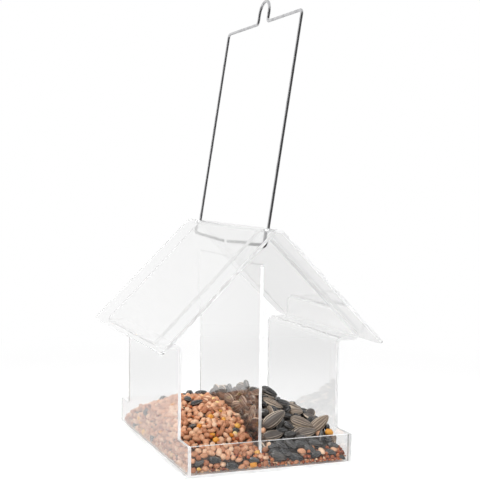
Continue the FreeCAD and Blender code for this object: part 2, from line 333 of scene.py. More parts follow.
@dataclass(frozen=True)
class ClearAcrylic:
    """Glossy clear sheet: a trace of grey in its depth, frosted cut edges with a painted glow, haze, dust
    and scratches.

    axes are the directions that the sheet's cut edges face, low_edge is the height in metres under which
    level faces are edges too, eaves is 1 on a pitched roof, and edges above the height gable get a darker
    colour as painted shade and no painted glow.
    """

    name: str
    axes: Place
    low_edge: float = -1.0
    eaves: float = 0.0
    gable: float = 1.0
    tint: Colour = (0.986, 0.986, 0.985)
    # Colour of the cut edges, which also colours their painted glow.
    edge_tint_and_glow: Colour = (0.985, 0.988, 0.988)
    # Painted shade: the dark colour of the cut edges above the gable height.
    gable_painted_shade: Colour = (0.87, 0.87, 0.87)
    edge_roughness: float = 0.32
    # Strength of the painted glow: emission on the cut edges, though they are no lamp.
    edge_glow: float = 0.04
    dust: float = 0.06
    lamp_share: float = 0.97
    ior: float = 1.49
    clean: float = 0.0
    hazy: float = 0.03
    scratch_strength: float = 0.006
    scratch_depth: float = 0.05 * MM

    def material(self, wear: NodeTree, cut: NodeTree) -> Material:
        """Makes the sheet's material.

        Args:
            wear: The sheet_wear group.
            cut: The cut_edge group.

        Returns:
            Glass that lets the lamps' light through to the seed.
        """
        material, graph = new_material(self.name)
        surface = graph.add("ShaderNodeTexCoord").outputs
        worn = graph.group(wear, {"Vector": surface["Object"], "Clean": self.clean, "Hazy": self.hazy})
        sawn = graph.group(cut, {
            "Place": surface["Object"], "Normal": surface["Normal"], "Axes": self.axes,
            "Low Edge": self.low_edge, "Eaves": self.eaves, "Gable": self.gable})
        frosted = graph.times(sawn.outputs["Edge"], self.edge_roughness)
        rough = graph.maths("ADD", worn.outputs["Roughness"], frosted)
        edged = graph.mix(sawn.outputs["Edge"], rgba(self.tint), rgba(self.edge_tint_and_glow))
        # Painted shade: the cut edges above the gable height are coloured dark.
        colour = graph.mix(sawn.outputs["High Edge"], edged, rgba(self.gable_painted_shade))
        # Painted glow: the cut edges below the gable height give off light, though they are no lamp.
        bright = graph.maths("SUBTRACT", sawn.outputs["Edge"], sawn.outputs["High Edge"])
        glow = graph.mix(bright, rgba((0.0, 0.0, 0.0)), rgba(self.edge_tint_and_glow))
        bump = graph.add("ShaderNodeBump", {
            "Strength": self.scratch_strength, "Distance": self.scratch_depth,
            "Height": worn.outputs["Height"]})
        glass = graph.add("ShaderNodeBsdfPrincipled", {
            "Base Color": colour, "Roughness": rough, "IOR": self.ior, "Transmission Weight": 1.0,
            "Sheen Weight": self.dust, "Emission Color": glow, "Emission Strength": self.edge_glow,
            "Normal": bump.outputs[0]})
        passed = graph.add("ShaderNodeBsdfTransparent", {"Color": rgba((self.lamp_share,) * 3)})
        path = graph.add("ShaderNodeLightPath")
        either = graph.add("ShaderNodeMixShader", {
            0: path.outputs["Is Shadow Ray"], 1: glass.outputs[0], 2: passed.outputs[0]})
        graph.add("ShaderNodeOutputMaterial", {"Surface": either.outputs[0]})
        return material


@dataclass(frozen=True)
class DrawnSteel:
    """Bright drawn wire with fine lengthwise drawing marks and dull spots; under the ridge it is painted
    dark as painted shade and made rougher.
    """

    name: str = "drawn_steel"
    bright: Colour = (0.64, 0.64, 0.65)
    dull: Colour = (0.42, 0.42, 0.43)
    # Painted shade: the wire's colour under the ridge.
    painted_shade_below_ridge: Colour = (0.16, 0.16, 0.16)
    roughness: float = 0.33
    dullness: float = 0.45
    roughness_below_ridge: float = 0.45
    ridge_height: float = 0.149
    ridge_blur: float = 0.002
    marks_per_metre: Place = (3000.0, 900.0, 60.0)
    mark_strength: float = 0.25
    mark_depth: float = 0.02 * MM
    spots_per_metre: float = 160.0
    spot_detail: float = 4.0
    spot_edge: Span = (0.45, 0.75)
    spot_share: float = 0.6

    def material(self) -> Material:
        """Makes the wire's material."""
        material, graph = new_material(self.name)
        place = graph.add("ShaderNodeTexCoord").outputs["Object"]
        drawn = graph.add("ShaderNodeMapping", {"Vector": place, "Scale": self.marks_per_metre})
        marks = graph.noise(drawn.outputs[0], 1.0)
        spots = graph.spread(graph.noise(place, self.spots_per_metre, self.spot_detail), *self.spot_edge)
        height = graph.parts(place)["Z"]
        under, over = self.ridge_height - self.ridge_blur, self.ridge_height + self.ridge_blur
        below = graph.spread(height, under, over, 1.0, 0.0)
        handled = graph.mix(graph.times(spots, self.spot_share), rgba(self.bright), rgba(self.dull))
        # Painted shade: under the ridge the wire is coloured dark.
        colour = graph.mix(below, handled, rgba(self.painted_shade_below_ridge))
        worn = graph.spread(spots, 0.0, 1.0, self.roughness, self.dullness)
        rough = graph.maths("ADD", worn, graph.times(below, self.roughness_below_ridge))
        bump = graph.add("ShaderNodeBump", {
            "Strength": self.mark_strength, "Distance": self.mark_depth, "Height": marks})
        metal = graph.add("ShaderNodeBsdfPrincipled", {
            "Base Color": colour, "Roughness": rough, "Metallic": 1.0, "Normal": bump.outputs[0]})
        graph.add("ShaderNodeOutputMaterial", {"Surface": metal.outputs[0]})
        return material


@dataclass(frozen=True)
class SeedFinish:
    """Skin of one kind of seed, with lengthwise stripes where the husk has them.

    A husk's stripes are a pale margin and LINES, each with its middle and half width across the husk, and
    the tones between which it comes in. They fade towards the tip.
    """

    MARGIN = (0.92, 0.975)
    LINES = ((0.66, 0.07, 0.05, 0.55), (0.30, 0.07, 0.3, 0.9))
    LINE_CORE = 0.4
    LINE_SHARE = 0.6
    TIP = (0.04, 0.25)
    PIT_STRENGTH = 0.35

    dark: Colour
    main: Colour
    pale: Colour
    grain: float = 700.0
    roughness: float = 0.5
    shine: float = 0.4
    pitting: float = 0.25 * MM
    stripe: Colour | None = None
    stripe_share: float = 0.0

    def material(self, name: str, skin: NodeTree) -> Material:
        """Makes the seed's material.

        Args:
            name: The material's name.
            skin: The seed_skin group.

        Returns:
            The material, which reads each seed's tone and map.
        """
        material, graph = new_material(name)
        place = graph.add("ShaderNodeTexCoord").outputs["Object"]
        tone = graph.add("ShaderNodeAttribute", attribute_name=TONE).outputs["Fac"]
        group = graph.group(skin, {
            "Vector": place, "Tone": tone, "Scale": self.grain,
            "Dark": rgba(self.dark), "Main": rgba(self.main), "Pale": rgba(self.pale)})
        colour = group.outputs["Color"]
        if self.stripe is not None:
            colour = graph.mix(self.stripes(graph, tone), colour, rgba(self.stripe))
        bump = graph.add("ShaderNodeBump", {
            "Strength": self.PIT_STRENGTH, "Distance": self.pitting, "Height": group.outputs["Height"]})
        skin_shader = graph.add("ShaderNodeBsdfPrincipled", {
            "Base Color": colour, "Roughness": self.roughness, "Specular IOR Level": self.shine,
            "Normal": bump.outputs[0]})
        graph.add("ShaderNodeOutputMaterial", {"Surface": skin_shader.outputs[0]})
        return material

    def stripes(self, graph: ShaderGraph, tone: Socket) -> Socket:
        """Draws the husk's pale lengthwise stripes.

        Args:
            graph: The material's graph.
            tone: Each seed's own tone.

        Returns:
            Share of the stripe colour.
        """
        around = graph.parts(graph.add("ShaderNodeUVMap", uv_map=SEED_MAP).outputs[0])
        turn = graph.times(around["X"], 2 * math.pi)
        across = graph.maths("ABSOLUTE", graph.maths("SINE", turn))
        pale = graph.spread(across, *self.MARGIN)
        for middle, width, least, most in self.LINES:
            off = graph.maths("ABSOLUTE", graph.maths("SUBTRACT", across, middle))
            line = graph.spread(off, width * self.LINE_CORE, width, 1.0, 0.0)
            drawn = graph.times(line, graph.spread(tone, least, most, 0.0, self.LINE_SHARE))
            pale = graph.maths("MAXIMUM", pale, drawn)
        ends = graph.spread(around["Y"], *self.TIP)
        return graph.times(graph.times(pale, ends), self.stripe_share)


FINISHES: dict[SeedKind, SeedFinish] = {
    WHEAT: SeedFinish((0.42, 0.17, 0.08), (0.68, 0.34, 0.19), (0.88, 0.60, 0.41)),
    SORGHUM: SeedFinish((0.40, 0.15, 0.07), (0.66, 0.31, 0.17), (0.84, 0.52, 0.33)),
    RED: SeedFinish((0.16, 0.03, 0.01), (0.36, 0.085, 0.025), (0.54, 0.18, 0.06), roughness=0.35),
    YELLOW: SeedFinish((0.62, 0.34, 0.06), (0.82, 0.50, 0.12), (0.88, 0.66, 0.30), roughness=0.35),
    MAIZE: SeedFinish((0.62, 0.20, 0.02), (0.80, 0.34, 0.04), (0.88, 0.52, 0.14), roughness=0.35),
    # The black husk's pale margin and lines are partly its own faint grey streaks and partly a painted
    # highlight along its edges.
    BLACK: SeedFinish((0.006, 0.006, 0.007), (0.020, 0.020, 0.021), (0.050, 0.047, 0.043),
                      roughness=0.26, shine=0.55, pitting=0.05 * MM,
                      stripe=(0.27, 0.25, 0.23), stripe_share=0.6),
    STRIPED: SeedFinish((0.048, 0.041, 0.038), (0.112, 0.096, 0.086), (0.205, 0.150, 0.110),
                        roughness=0.40, shine=0.3, pitting=0.1 * MM,
                        stripe=(0.82, 0.68, 0.54), stripe_share=0.98),
    BROKEN: SeedFinish((0.30, 0.12, 0.06), (0.56, 0.28, 0.15), (0.78, 0.52, 0.33), roughness=0.65),
}


@dataclass(frozen=True)
class SeedForm:
    """Size and shape of one kind of seed, lying flat with its length along X.

    Sizes are whole lengths in millimetres. taper draws the far end to a point, crease is the depth of the
    belly's groove as a share of half the thickness, and blocky is how near the seed comes to a block.
    """

    GROOVE_SLOPE = 2.5
    BLOCK_SIDE = 0.85

    length: float
    width: float
    thickness: float
    around: int = 8
    along: int = 6
    taper: float = 0.0
    crease: float = 0.0
    blocky: float = 0.0

    def mesh(self, name: str) -> bpy.types.Mesh:
        """Models the seed.

        Args:
            name: The mesh's name.

        Returns:
            A closed mesh with a map around and along the seed, and a tone to be set on each copy.
        """
        shape = bmesh.new()
        shape.loops.layers.uv.new(SEED_MAP)
        shape.verts.layers.float.new(TONE)
        bmesh.ops.create_uvsphere(shape, u_segments=self.around, v_segments=self.along, radius=1.0,
                                  calc_uvs=True)
        lie_down = Matrix.Rotation(math.pi / 2, 3, "Y")
        bmesh.ops.rotate(shape, matrix=lie_down, verts=shape.verts)
        for vertex in shape.verts:
            vertex.co = self.moulded(vertex.co)
        half = Vector((self.length, self.width, self.thickness)) * MM / 2
        bmesh.ops.scale(shape, vec=half, verts=shape.verts)
        for face in shape.faces:
            face.smooth = True
        mesh = bpy.data.meshes.new(name)
        shape.to_mesh(mesh)
        shape.free()
        return mesh

    def moulded(self, point: Vector) -> Vector:
        """Moves a point of the unit ball to its place on the unit seed."""
        slim = 1.0 - self.taper * point.x
        moved = Vector((point.x, point.y * slim, point.z * slim))
        if self.crease and point.z < 0:
            groove = max(0.0, 1.0 - abs(point.y) * self.GROOVE_SLOPE)
            moved.z += self.crease * groove * (1.0 - point.x ** 2)
        if self.blocky:
            most = max(abs(moved.x), abs(moved.y), abs(moved.z))
            moved = moved.lerp(moved / most * self.BLOCK_SIDE, self.blocky)
        return moved


FORMS: dict[SeedKind, SeedForm] = {
    WHEAT: SeedForm(5.4, 3.7, 3.2, along=7, crease=0.3),
    SORGHUM: SeedForm(4.4, 4.0, 3.5),
    RED: SeedForm(2.7, 2.6, 2.4, around=7, along=5),
    YELLOW: SeedForm(2.7, 2.5, 2.3, around=7, along=5),
    MAIZE: SeedForm(4.8, 3.8, 2.8, taper=0.25, blocky=0.5),
    BLACK: SeedForm(10.0, 5.2, 3.7, along=8, taper=0.28),
    STRIPED: SeedForm(16.8, 8.3, 4.3, along=8, taper=0.28),
    BROKEN: SeedForm(1.9, 1.5, 1.3, around=6, along=4, blocky=0.4),
}


@dataclass(frozen=True)
class Sprinkle:
    """Scattered seeds of one kind: the share of the surface they may take, and where, in millimetres."""

    kind: SeedKind
    share: float
    low: Place = (-FAR, -FAR, -FAR)
    high: Place = (FAR, FAR, FAR)

    def holds(self, point: Vector) -> bool:
        """True if the point is where these seeds may lie."""
        return all(low <= value / MM <= high for low, value, high in zip(self.low, point, self.high))


@dataclass(frozen=True)
class LaidSeed:
    """A seed that the photograph shows plainly.

    across and down are its middle in the image, in pixels, and slant is its length's angle there, in
    degrees up from level. lean lifts its far end off the heap, facing is how far its flat side turns from
    the heap's slope to the viewer, lift raises all of it by that many thicknesses, and size is its share of
    the usual size.
    """

    kind: SeedKind
    across: float
    down: float
    slant: float = 0.0
    lean: float = 0.0
    tone: float = 0.5
    lift: float = 0.0
    size: float = 1.0
    facing: float = 0.0


@dataclass(frozen=True)
class StrewnSeeds:
    """The main seeds of a heap, which its plain solid has too: staggered rows of one kind.

    columns is the count in a full row, reach the least distance of a seed's middle from the sheets in
    millimetres, and turn the angle from each seed to the next in degrees.
    """

    kind: SeedKind
    columns: int
    rows: int
    reach: float
    turn: float = 137.5

    def places(self, low: Vector, high: Vector) -> Iterator[tuple[float, float]]:
        """Gives the seeds' places.

        Args:
            low: Lowest corner of the heap.
            high: Highest corner of the heap.

        Yields:
            X and Y of each seed.
        """
        start, end = low.x + self.reach * MM, high.x - self.reach * MM
        front, back = low.y + self.reach * MM, high.y - self.reach * MM
        for row in range(self.rows):
            y = front + (back - front) * row / (self.rows - 1)
            shifted = row % 2
            for column in range(self.columns - shifted):
                yield start + (end - start) * (column + shifted / 2) / (self.columns - 1), y


@dataclass(frozen=True)
class HeapCut:
    """Heights of a heap's top on one line across the house, with the line's place on Y, in millimetres."""

    along: float
    at_divider: float
    at_middle: float
    at_wall: float


@dataclass
class Seed:
    """One seed in its place."""

    kind: SeedKind
    matrix: Matrix
    reach: Matrix
    tone: float

    @property
    def place(self) -> Vector:
        """Middle of the seed."""
        return self.matrix.to_translation()


@dataclass(frozen=True)
class Bay:
    """What lies in one bay: its heap's shape, its crumbs, and its seeds in the order of putting them down.

    inset is the depth of the crumbs under the surface in millimetres, and draw starts the random draws.
    """

    node: str
    slot: str
    prefix: str
    inset: float
    draw: int
    cuts: tuple[HeapCut, ...]
    # Finish of the bed of crumbs; the mix bay's is painted shade, far darker than its kernels.
    crumbs_and_shade: SeedFinish
    laid: tuple[LaidSeed, ...]
    strewn: StrewnSeeds
    sprinkles: tuple[Sprinkle, ...]


FLOOR_SHARE, FLOOR_DEPTH = 0.5, 5.0
TRAY_END, TRAY_SIDE = 73.5, 50.0
FLOOR_LINE = (
    Sprinkle(BROKEN, FLOOR_SHARE, high=(FAR, -TRAY_END, FLOOR_DEPTH)),
    Sprinkle(BROKEN, FLOOR_SHARE, low=(-FAR, TRAY_END, -FAR), high=(FAR, FAR, FLOOR_DEPTH)),
    Sprinkle(BROKEN, FLOOR_SHARE, high=(-TRAY_SIDE, FAR, FLOOR_DEPTH)),
    Sprinkle(BROKEN, FLOOR_SHARE, low=(TRAY_SIDE, -FAR, -FAR), high=(FAR, FAR, FLOOR_DEPTH)),
)

MIX_BAY = Bay(
    node="seed_mix", slot="grain", prefix="mix", inset=2.6, draw=7,
    cuts=(
        HeapCut(-76.2, 8.0, 12.0, 13.0),
        HeapCut(-58.0, 10.5, 22.5, 21.5),
        HeapCut(-30.0, 24.0, 35.0, 27.0),
        HeapCut(5.0, 28.0, 36.3, 28.0),
        HeapCut(35.0, 28.0, 29.0, 21.5),
        HeapCut(58.0, 17.0, 17.0, 12.8),
        HeapCut(76.2, 5.0, 5.0, 4.8),
    ),
    # Painted shade: the mix bed is coloured far darker than its kernels, so the gaps between them read as
    # shade.
    crumbs_and_shade=SeedFinish((0.06, 0.03, 0.015), (0.14, 0.07, 0.038), (0.25, 0.14, 0.08)),
    laid=(
        LaidSeed(BLACK, 189.5, 392.5, 40, lean=14, lift=0.6, size=0.95),
        LaidSeed(BLACK, 201.0, 392.5, 8, lift=0.6, size=0.95),
        LaidSeed(BLACK, 188.2, 399.0, -25, lift=0.4, size=0.85),
        LaidSeed(BLACK, 196.7, 402.3, 20, lift=0.4, size=0.95),
        LaidSeed(BLACK, 145.5, 412.2, 30, size=0.9),
        LaidSeed(BLACK, 165.2, 397.0, 0, lift=0.4, size=0.95),
        LaidSeed(BLACK, 135.0, 428.5, -40, size=0.7),
        LaidSeed(BLACK, 152.3, 438.8, -20, size=0.9),
        LaidSeed(BLACK, 199.6, 463.4, 20, tone=0.95, size=0.7),
        LaidSeed(BLACK, 215.8, 460.6, -5, size=0.85),
        LaidSeed(BLACK, 233.0, 467.6, -3, size=0.95),
        LaidSeed(BLACK, 254.5, 460.6, -5, tone=1.0, size=0.75),
        LaidSeed(BLACK, 236.9, 428.6, 10, tone=0.8, size=0.8),
        LaidSeed(MAIZE, 211.5, 415.0, 45, tone=0.3, size=1.1),
        LaidSeed(MAIZE, 199.2, 424.5, 75, tone=0.1, size=0.95),
        LaidSeed(MAIZE, 224.2, 418.0, 60, tone=0.7, size=0.8),
        LaidSeed(MAIZE, 238.5, 424.3, 35, tone=0.8, size=1.1),
        LaidSeed(MAIZE, 216.4, 438.5, 30, tone=0.5),
        LaidSeed(MAIZE, 232.3, 434.0, -60, tone=0.0, size=0.8),
        LaidSeed(MAIZE, 254.0, 466.7, 5, tone=0.4, size=1.1),
        LaidSeed(MAIZE, 139.0, 418.0, 60, tone=0.8, size=0.9),
        LaidSeed(MAIZE, 143.5, 432.0, 60, tone=0.9, size=1.1),
        LaidSeed(YELLOW, 199.0, 469.5),
        LaidSeed(YELLOW, 236.0, 432.0, 10, tone=1.0, size=1.4),
        LaidSeed(YELLOW, 217.8, 401.0, 60, tone=1.0, size=1.4),
        LaidSeed(YELLOW, 214.0, 397.3, 20, tone=1.0, size=1.4),
        LaidSeed(YELLOW, 172.2, 454.9, 40, tone=1.0, size=1.3),
    ),
    strewn=StrewnSeeds(WHEAT, columns=5, rows=13, reach=3.6),
    sprinkles=(
        Sprinkle(BLACK, 0.002),
        Sprinkle(MAIZE, 0.0015),
        Sprinkle(SORGHUM, 0.12),
        Sprinkle(WHEAT, 1.0),
        Sprinkle(SORGHUM, 0.8),
        Sprinkle(YELLOW, 0.004),
        Sprinkle(RED, 0.06),
        *FLOOR_LINE,
    ),
)

SUNFLOWER_BAY = Bay(
    node="sunflower_seed", slot="sunflower", prefix="sun", inset=4.6, draw=11,
    cuts=(
        HeapCut(-76.2, 10.0, 11.0, 5.5),
        HeapCut(-58.0, 24.0, 22.0, 17.5),
        HeapCut(-30.0, 48.5, 35.5, 22.5),
        HeapCut(0.0, 39.5, 32.0, 20.0),
        HeapCut(30.0, 32.0, 24.0, 13.0),
        HeapCut(58.0, 19.0, 13.0, 6.0),
        HeapCut(76.2, 7.0, 5.0, 4.0),
    ),
    crumbs_and_shade=SeedFinish((0.040, 0.034, 0.030), (0.095, 0.080, 0.068), (0.21, 0.16, 0.125)),
    laid=(
        LaidSeed(STRIPED, 273.2, 420.7, 38, tone=0.5, lift=0.8, size=1.03, facing=0.9),
        LaidSeed(STRIPED, 268.0, 433.5, 15, tone=0.35, size=0.9),
        LaidSeed(STRIPED, 301.7, 421.3, -20, tone=0.75, lift=0.3, size=0.95, facing=0.3),
        LaidSeed(STRIPED, 313.5, 417.5, -28, tone=0.3, lift=0.2, size=0.9),
        LaidSeed(STRIPED, 322.8, 425.1, 40, lean=8, tone=0.95, lift=0.8, facing=0.55),
        LaidSeed(STRIPED, 308.5, 430.0, 14, tone=0.6, size=0.9),
        LaidSeed(STRIPED, 296.5, 410.3, 5, tone=0.95, lift=0.2, size=0.85),
        LaidSeed(BLACK, 283.5, 402.8, -12, lift=0.4, size=1.15),
        LaidSeed(BLACK, 268.0, 388.0, -35, lean=8, lift=0.8, size=1.2),
        LaidSeed(BLACK, 273.0, 394.0, -45, tone=0.8, lift=0.4, size=1.1),
        LaidSeed(STRIPED, 274.0, 401.0, -25, tone=0.85, size=0.9),
        LaidSeed(BLACK, 276.0, 409.0, -40, size=1.1),
        LaidSeed(BLACK, 287.0, 413.5, -10, size=0.9),
        LaidSeed(BLACK, 282.5, 429.0, 5, size=0.9),
        LaidSeed(BLACK, 289.0, 423.5, -30, size=0.9),
        LaidSeed(BLACK, 291.0, 432.5, 10, tone=0.7),
        LaidSeed(BLACK, 274.0, 444.0, 20, tone=0.6, size=0.9),
        LaidSeed(BLACK, 281.5, 443.0, -30, size=0.95),
        LaidSeed(BLACK, 290.5, 441.5, -40, tone=0.7),
        LaidSeed(BLACK, 301.0, 441.5, 10, tone=0.6, size=1.1),
        LaidSeed(BLACK, 316.0, 440.5, -10, tone=0.7, size=1.1),
        LaidSeed(STRIPED, 212.5, 391.5, 23, tone=0.2, lift=0.3, size=1.05, facing=0.6),
        LaidSeed(STRIPED, 235.0, 391.0, 20, tone=0.15, lift=0.2, size=0.8),
        LaidSeed(BLACK, 244.0, 391.0, -30, tone=0.9, lift=0.2, size=0.9),
        LaidSeed(STRIPED, 252.5, 390.5, 0, tone=0.2, lift=0.2, size=0.8),
        LaidSeed(STRIPED, 228.0, 399.0, -30, tone=0.7),
        LaidSeed(STRIPED, 243.0, 404.0, -55, tone=0.6),
        LaidSeed(STRIPED, 251.0, 414.0, 75, tone=0.8),
        LaidSeed(BLACK, 254.0, 431.0, 20),
        LaidSeed(MAIZE, 331.0, 430.5, 0, tone=0.6, size=1.3),
        LaidSeed(BLACK, 270.0, 450.6, -8, tone=0.1, size=0.95),
        LaidSeed(BLACK, 286.0, 450.8, -18, tone=0.4, size=0.95),
        LaidSeed(BLACK, 297.4, 458.3, -8, tone=0.3, lift=0.2, size=1.05),
        LaidSeed(BLACK, 277.0, 457.2, -18, tone=0.95, lift=0.3, size=1.2),
        LaidSeed(BLACK, 311.5, 447.3, -35, tone=0.7, size=1.1),
        LaidSeed(BLACK, 317.5, 454.5, 10, size=0.9),
        LaidSeed(BLACK, 331.0, 450.3, -15, tone=0.7, size=0.8),
        LaidSeed(BLACK, 333.5, 443.5, -10, tone=0.8, size=0.85),
        LaidSeed(BLACK, 345.0, 458.3, -30, size=0.5),
        LaidSeed(WHEAT, 266.4, 445.7, 80, tone=1.0, size=1.05),
        LaidSeed(WHEAT, 302.0, 449.6, -10, tone=0.4, size=1.05),
        LaidSeed(WHEAT, 322.0, 449.2, -50, tone=1.0, size=1.05),
        LaidSeed(WHEAT, 334.2, 448.0, -20, tone=0.7, size=0.9),
        LaidSeed(SORGHUM, 296.5, 463.0, 0, tone=0.2, size=0.9),
    ),
    strewn=StrewnSeeds(STRIPED, columns=3, rows=11, reach=9.24),
    sprinkles=(
        Sprinkle(RED, 0.45, low=(20.0, -77.0, 0.0), high=(53.0, -66.0, 11.0)),
        Sprinkle(STRIPED, 1.2, low=(-FAR, -60.0, -FAR)),
        Sprinkle(BLACK, 0.9),
        Sprinkle(WHEAT, 0.03, high=(FAR, FAR, 22.0)),
        Sprinkle(SORGHUM, 0.01, high=(FAR, FAR, 22.0)),
        Sprinkle(RED, 0.3, high=(FAR, -70.0, 8.0)),
        *FLOOR_LINE,
    ),
)


def in_order(place: Vector) -> tuple[float, ...]:
    """Gives a sorting key by place, because Blender may number the same faces differently in each run."""
    return tuple(round(value, 6) for value in place)


def wound(face: bmesh.types.BMFace) -> list[Vector]:
    """Gives a face's corners in their own sense of turn, from the first by place."""
    corners = [vertex.co.copy() for vertex in face.verts]
    start = min(range(len(corners)), key=lambda number: in_order(corners[number]))
    return corners[start:] + corners[:start]


class SeedHeap:
    """One load of loose seed: a bed of crumbs under seeds that rest on it and against the sheets.

    Seeds are looked up by cells of side CELL, and two may overlap by what SQUEEZE leaves out of them. SWELL
    widens the box of a tapered seed. The layers' DEPTHS under the surface are in thicknesses of a seed. A
    seed lies PROUD of the surface, and STAND_OUT is the most that a tumbled one may stand out of it.
    """

    CELL = 9.0 * MM
    TRIES_PER_AREA = 11.0
    SQUEEZE = 0.83
    SIZE_SPREAD = 0.12
    WALL_ROOM = 0.15 * MM
    SWELL = 0.25
    DEPTHS = ((0.0, 0.25), (0.25, 0.9), (0.9, 1.9))
    TOP_TILT = 0.42
    WALL_TILT = 0.16
    WALL_SPIN = 0.45
    LEAST_SLOPE = 0.2
    PROUD = 0.3 * MM
    STAND_OUT = 2.6 * MM
    LUMP_HEIGHT = 0.6
    LUMP_SPAN = 4
    FROM_ABOVE = 1.0
    AIM_TRIES = 14
    AIM_STEP = 6.0

    def __init__(self, bay: Bay) -> None:
        """Shapes the heap's crown.

        Args:
            bay: What lies in the bay.
        """
        self.slot = bay.slot
        self.random = random.Random(bay.draw)
        self.low, self.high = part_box(bay.node)
        self.side = 1 if self.low.x > 0 else -1
        self.seeds: list[Seed] = []
        self.cells: dict[tuple[int, int, int], list[Seed]] = {}
        self.crown = self.shaped(bay.cuts)
        faces = sorted(self.crown.faces, key=lambda face: in_order(face.calc_center_median()))
        self.normals = [face.normal.copy() for face in faces]
        self.corners = [wound(face) for face in faces]
        self.areas = list(accumulate(face.calc_area() for face in faces))
        self.numbers = range(len(faces))
        places = [place for corners in self.corners for place in corners]
        triangles = [(3 * number, 3 * number + 1, 3 * number + 2) for number in self.numbers]
        self.surface = BVHTree.FromPolygons(places, triangles)

    def shaped(self, cuts: tuple[HeapCut, ...]) -> Shape:
        """Models the rounded outside of the heap, down to the floor.

        Args:
            cuts: Heights across the heap, from the front to the back.

        Returns:
            A closed mesh of triangles.
        """
        shape = bmesh.new()
        bmesh.ops.create_grid(shape, x_segments=2, y_segments=len(cuts) - 1, size=1.0)
        for vertex in shape.verts:
            line = cuts[round((vertex.co.y + 1) / 2 * (len(cuts) - 1))]
            across = round(vertex.co.x * self.side + 1)
            height = (line.at_divider, line.at_middle, line.at_wall)[across]
            low, high = self.room(line.along * MM)
            inner, outer = (low.x, high.x) if self.side > 0 else (high.x, low.x)
            vertex.co = (inner + (outer - inner) * across / 2, line.along * MM, height * MM)
        bmesh.ops.subdivide_edges(shape, edges=shape.edges, cuts=2, use_grid_fill=True)
        inside = [vertex for vertex in shape.verts if not vertex.is_boundary]
        for _ in range(2):
            bmesh.ops.smooth_vert(shape, verts=inside, factor=0.5, use_axis_z=True)
        border = [edge for edge in shape.edges if edge.is_boundary]
        grown = bmesh.ops.extrude_edge_only(shape, edges=border)["geom"]
        for vertex in grown:
            if isinstance(vertex, bmesh.types.BMVert):
                vertex.co.z = self.low.z
        bmesh.ops.holes_fill(shape, edges=[edge for edge in shape.edges if edge.is_boundary])
        bmesh.ops.recalc_face_normals(shape, faces=shape.faces)
        bmesh.ops.triangulate(shape, faces=shape.faces)
        return shape

    def room(self, along: float) -> tuple[Vector, Vector]:
        """Finds the space between the sheets, which past the divider's ends reaches to the middle.

        Args:
            along: Place on Y.

        Returns:
            Lowest and highest corner.
        """
        low, high = self.low.copy(), self.high.copy()
        if abs(along) > DIVIDER_END:
            if self.side > 0:
                low.x = 0.0
            else:
                high.x = 0.0
        return low, high

    def spot(self) -> tuple[Vector, Vector]:
        """Draws a point on the heap's surface.

        Returns:
            The point and the outward normal there.
        """
        number = self.random.choices(self.numbers, cum_weights=self.areas)[0]
        first, second, third = self.corners[number]
        across, along = math.sqrt(self.random.random()), self.random.random()
        point = first * (1 - across) + second * (across * (1 - along)) + third * (across * along)
        return point, self.normals[number].copy()

    def tumbled(self, kind: SeedKind, normal: Vector) -> Matrix:
        """Draws a turn for a seed that lies on the surface, where husks lean flat against the sheets.

        Args:
            kind: Kind of seed.
            normal: Outward normal there.

        Returns:
            The turn from the seed's own axes.
        """
        on_top = normal.z > self.LEAST_SLOPE
        leaning = not on_top and kind in HUSKS
        tilt = self.WALL_TILT if leaning else self.TOP_TILT
        facing = normal if on_top or leaning else UP
        lying = facing.to_track_quat("Z", "Y").to_matrix()
        turned = Euler((self.random.gauss(0, tilt), self.random.gauss(0, tilt), 0)).to_matrix()
        spin = self.random.gauss(0, self.WALL_SPIN) if leaning else self.random.uniform(0, 2 * math.pi)
        spun = Matrix.Rotation(spin, 3, "Z")
        rolled = Matrix.Rotation(self.random.choice((0, math.pi)), 3, "X")
        return lying @ turned @ spun @ rolled

    def lay(self, laid: LaidSeed, studio: "Studio") -> None:
        """Adds a seed where the photograph shows it.

        Args:
            laid: The seed in the photograph.
            studio: The studio, for its camera.
        """
        eye = Vector(studio.camera_place)
        point = normal = None
        for lower in range(self.AIM_TRIES):
            point, normal = self.surface.ray_cast(eye, studio.sight(laid.across, laid.down + lower))[:2]
            if point is not None:
                break
        else:
            log.warning("no place for the %s at %.0f, %.0f", laid.kind.value, laid.across, laid.down)
            return
        slant = math.radians(laid.slant)
        ahead = studio.sight(laid.across + self.AIM_STEP * math.cos(slant),
                             laid.down + lower - self.AIM_STEP * math.sin(slant))
        flat = normal.lerp((eye - point).normalized(), laid.facing).normalized()
        along = (eye + ahead * ((point - eye).dot(flat) / ahead.dot(flat)) - point).normalized()
        turn = Matrix((along, flat.cross(along), flat)).transposed()
        leaning = Matrix.Rotation(-math.radians(laid.lean), 3, "Y")
        seed = self.settled(laid.kind, point, normal, turn @ leaning, -laid.lift, laid.size)
        seed.tone = laid.tone
        self.keep(seed)

    def strew(self, strewn: StrewnSeeds) -> None:
        """Adds the main seeds where the plain solid has them, unless one is laid there already.

        Args:
            strewn: The seeds.
        """
        for count, (x, y) in enumerate(strewn.places(self.low, self.high)):
            point, normal = self.top(x, y)
            turn = UP.rotation_difference(normal).to_matrix()
            turn @= Matrix.Rotation(math.radians(count * strewn.turn), 3, "Z")
            seed = self.settled(strewn.kind, point, normal, turn, 0.0)
            if self.fits(seed):
                self.keep(seed)

    def top(self, x: float, y: float) -> tuple[Vector | None, Vector | None]:
        """Finds the heap's top and the normal there, or None beside the heap."""
        return self.surface.ray_cast(Vector((x, y, self.FROM_ABOVE)), -UP)[:2]

